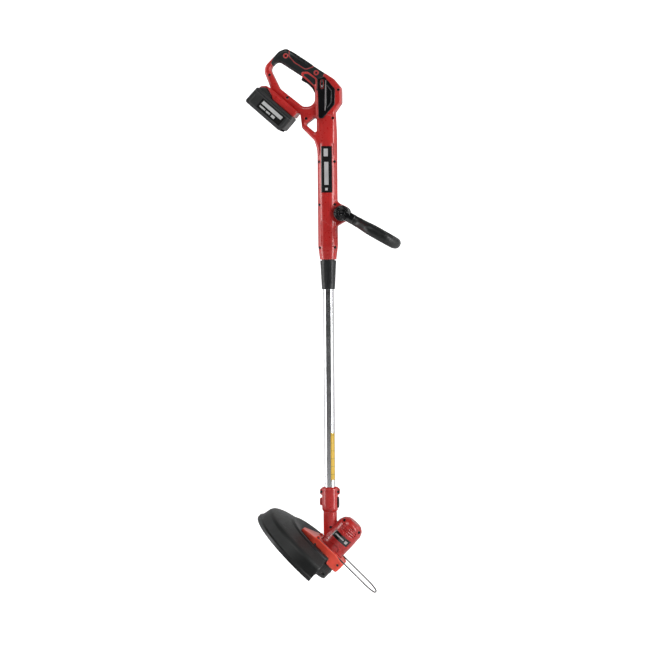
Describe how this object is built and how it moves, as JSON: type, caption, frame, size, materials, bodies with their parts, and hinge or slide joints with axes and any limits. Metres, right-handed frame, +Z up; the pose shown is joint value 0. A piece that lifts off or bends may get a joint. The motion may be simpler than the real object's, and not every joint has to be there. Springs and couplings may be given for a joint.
{
  "type": "string trimmer",
  "caption": "Battery string trimmer: D-grip handle, telescopic aluminium shaft, tilting front handle, swivel motor head with guard, bump-feed spool and folding wire edge guide.",
  "frame": {"origin": "on the tube's axis, half way along its bare length, where a rack clip would hold it", "axes": "+Z up the tube to the handle, +X forward, +Y to the user's left"},
  "size_m": [0.3614, 0.356, 1.2823],
  "materials": {
    "red_plastic": "satin moulded plastic",
    "orange_red_plastic": "satin moulded plastic",
    "black_soft": "soft-touch overmould",
    "black_gloss": "polished moulded plastic",
    "dark_plastic": "textured moulded plastic",
    "label_film": "glossy film, blank",
    "aluminium_tube": "drawn and polished",
    "steel": "bright",
    "yellow_strip": "blank strip",
    "board": "circuit board",
    "cell_wrap": "shrink wrap",
    "nylon_line": "nylon line"
  },
  "bodies": {
    "handle": {"handle_shell_right": "red_plastic", "handle_shell_left": "red_plastic", "grip_cover_right": "black_soft", "grip_cover_left": "black_soft", "grip_pad": "black_soft", "side_panel_right": "black_gloss", "side_panel_left": "black_gloss", "label_plate_right": "label_film", "label_plate_left": "label_film", "handle_screws": "steel", "trigger_pin": "steel", "trigger_switch": "dark_plastic", "trigger_spring": "steel", "control_board": "board", "terminal_block": "dark_plastic", "collet": "dark_plastic", "coiled_lead": "dark_plastic", "aux_bolt": "steel"},
    "trigger": {"trigger": "black_gloss"},
    "lock_off": {"lock_off_button": "black_gloss"},
    "lock_collar": {"lock_collar": "black_gloss"},
    "front_handle": {"aux_loop": "black_gloss", "aux_grip": "black_soft"},
    "front_handle_lock": {"aux_lock_button": "black_gloss"},
    "battery": {"battery_case": "dark_plastic", "battery_cover": "dark_plastic", "battery_cells": "cell_wrap", "battery_board": "board", "battery_label_right": "label_film", "battery_label_left": "label_film", "battery_screws": "steel"},
    "battery_release": {"battery_latch": "red_plastic"},
    "shaft": {"shaft_tube": "aluminium_tube", "tube_end_ring": "dark_plastic", "motor_lead": "dark_plastic", "warning_strip": "yellow_strip", "coupling_shell_right": "red_plastic", "coupling_shell_left": "red_plastic", "coupling_screws": "steel"},
    "rotation_release": {"rotation_button": "dark_plastic"},
    "motor_head": {"swivel_spigot": "dark_plastic", "motor_housing_right": "red_plastic", "motor_housing_left": "red_plastic", "housing_screws": "steel", "motor_label": "label_film", "motor_can": "steel", "motor_bearing": "steel", "guard_bracket": "orange_red_plastic", "guard": "dark_plastic", "guard_screws": "steel", "cutter_blade": "steel"},
    "edge_guide": {"wire_guide": "steel"},
    "spool_head": {"drive_shaft": "steel", "spool_housing": "dark_plastic", "spool_cap": "dark_plastic", "line_eyelets": "steel", "feed_spring": "steel"},
    "line_reel": {"spool_reel": "dark_plastic", "cutting_line": "nylon_line"},
    "bump_button": {"bump_knob": "black_gloss"}
  },
  "joints": [
    {"name": "trigger_pull", "type": "hinge", "parent": "handle", "child": "trigger", "pos_m": [-0.019, 0, 0.703], "axis": [0, 1, 0], "range_deg": [0, 9], "stiffness_Nm_per_rad": 1, "springref_deg": -17.19},
    {"name": "lock_off_push", "type": "slide", "parent": "handle", "child": "lock_off", "axis": [0, 1, 0], "range_m": [-0.0025, 0.0025], "stiffness_N_per_m": 600},
    {"name": "battery_slide", "type": "slide", "parent": "handle", "child": "battery", "axis": [-0.749, 0, 0.6626], "range_m": [0, 0.09]},
    {"name": "battery_release_press", "type": "slide", "parent": "battery", "child": "battery_release", "axis": [-0.6626, 0, -0.749], "range_m": [0, 0.003], "stiffness_N_per_m": 900, "springref_m": -0.003},
    {"name": "front_handle_tilt", "type": "hinge", "parent": "handle", "child": "front_handle", "pos_m": [0.035, 0, 0.411], "axis": [0, 1, 0], "range_deg": [-100, 55]},
    {"name": "front_handle_lock_press", "type": "slide", "parent": "front_handle", "child": "front_handle_lock", "axis": [0, 1, 0], "range_m": [0, 0.0028], "stiffness_N_per_m": 900, "springref_m": -0.003},
    {"name": "collar_twist", "type": "hinge", "parent": "handle", "child": "lock_collar", "pos_m": [0, 0, 0.265], "axis": [0, 0, 1], "range_deg": [0, 90]},
    {"name": "shaft_slide", "type": "slide", "parent": "handle", "child": "shaft", "axis": [0, 0, 1], "range_m": [0, 0.18], "deforming": ["coiled_lead"]},
    {"name": "rotation_release_press", "type": "slide", "parent": "shaft", "child": "rotation_release", "axis": [-1, 0, 0], "range_m": [0, 0.0015], "stiffness_N_per_m": 900, "springref_m": -0.003},
    {"name": "head_rotation", "type": "hinge", "parent": "shaft", "child": "motor_head", "pos_m": [0, 0, -0.28], "axis": [0, 0, 1], "range_deg": [0, 180]},
    {"name": "edge_guide_flip", "type": "hinge", "parent": "motor_head", "child": "edge_guide", "pos_m": [-0.0249, 0, -0.35075], "axis": [0, -1, 0], "range_deg": [0, 103]},
    {"name": "spindle_spin", "type": "hinge", "parent": "motor_head", "child": "spool_head", "pos_m": [-0.01445, 0, -0.39673], "axis": [0.682, 0, 0.7314], "continuous": true},
    {"name": "reel_feed", "type": "hinge", "parent": "spool_head", "child": "line_reel", "pos_m": [-0.02809, 0, -0.41135], "axis": [0.682, 0, 0.7314], "continuous": true},
    {"name": "bump_press", "type": "slide", "parent": "spool_head", "child": "bump_button", "axis": [0.682, 0, 0.7314], "range_m": [0, 0.003], "stiffness_N_per_m": 700, "springref_m": -0.003, "deforming": ["feed_spring"]}
  ]
}
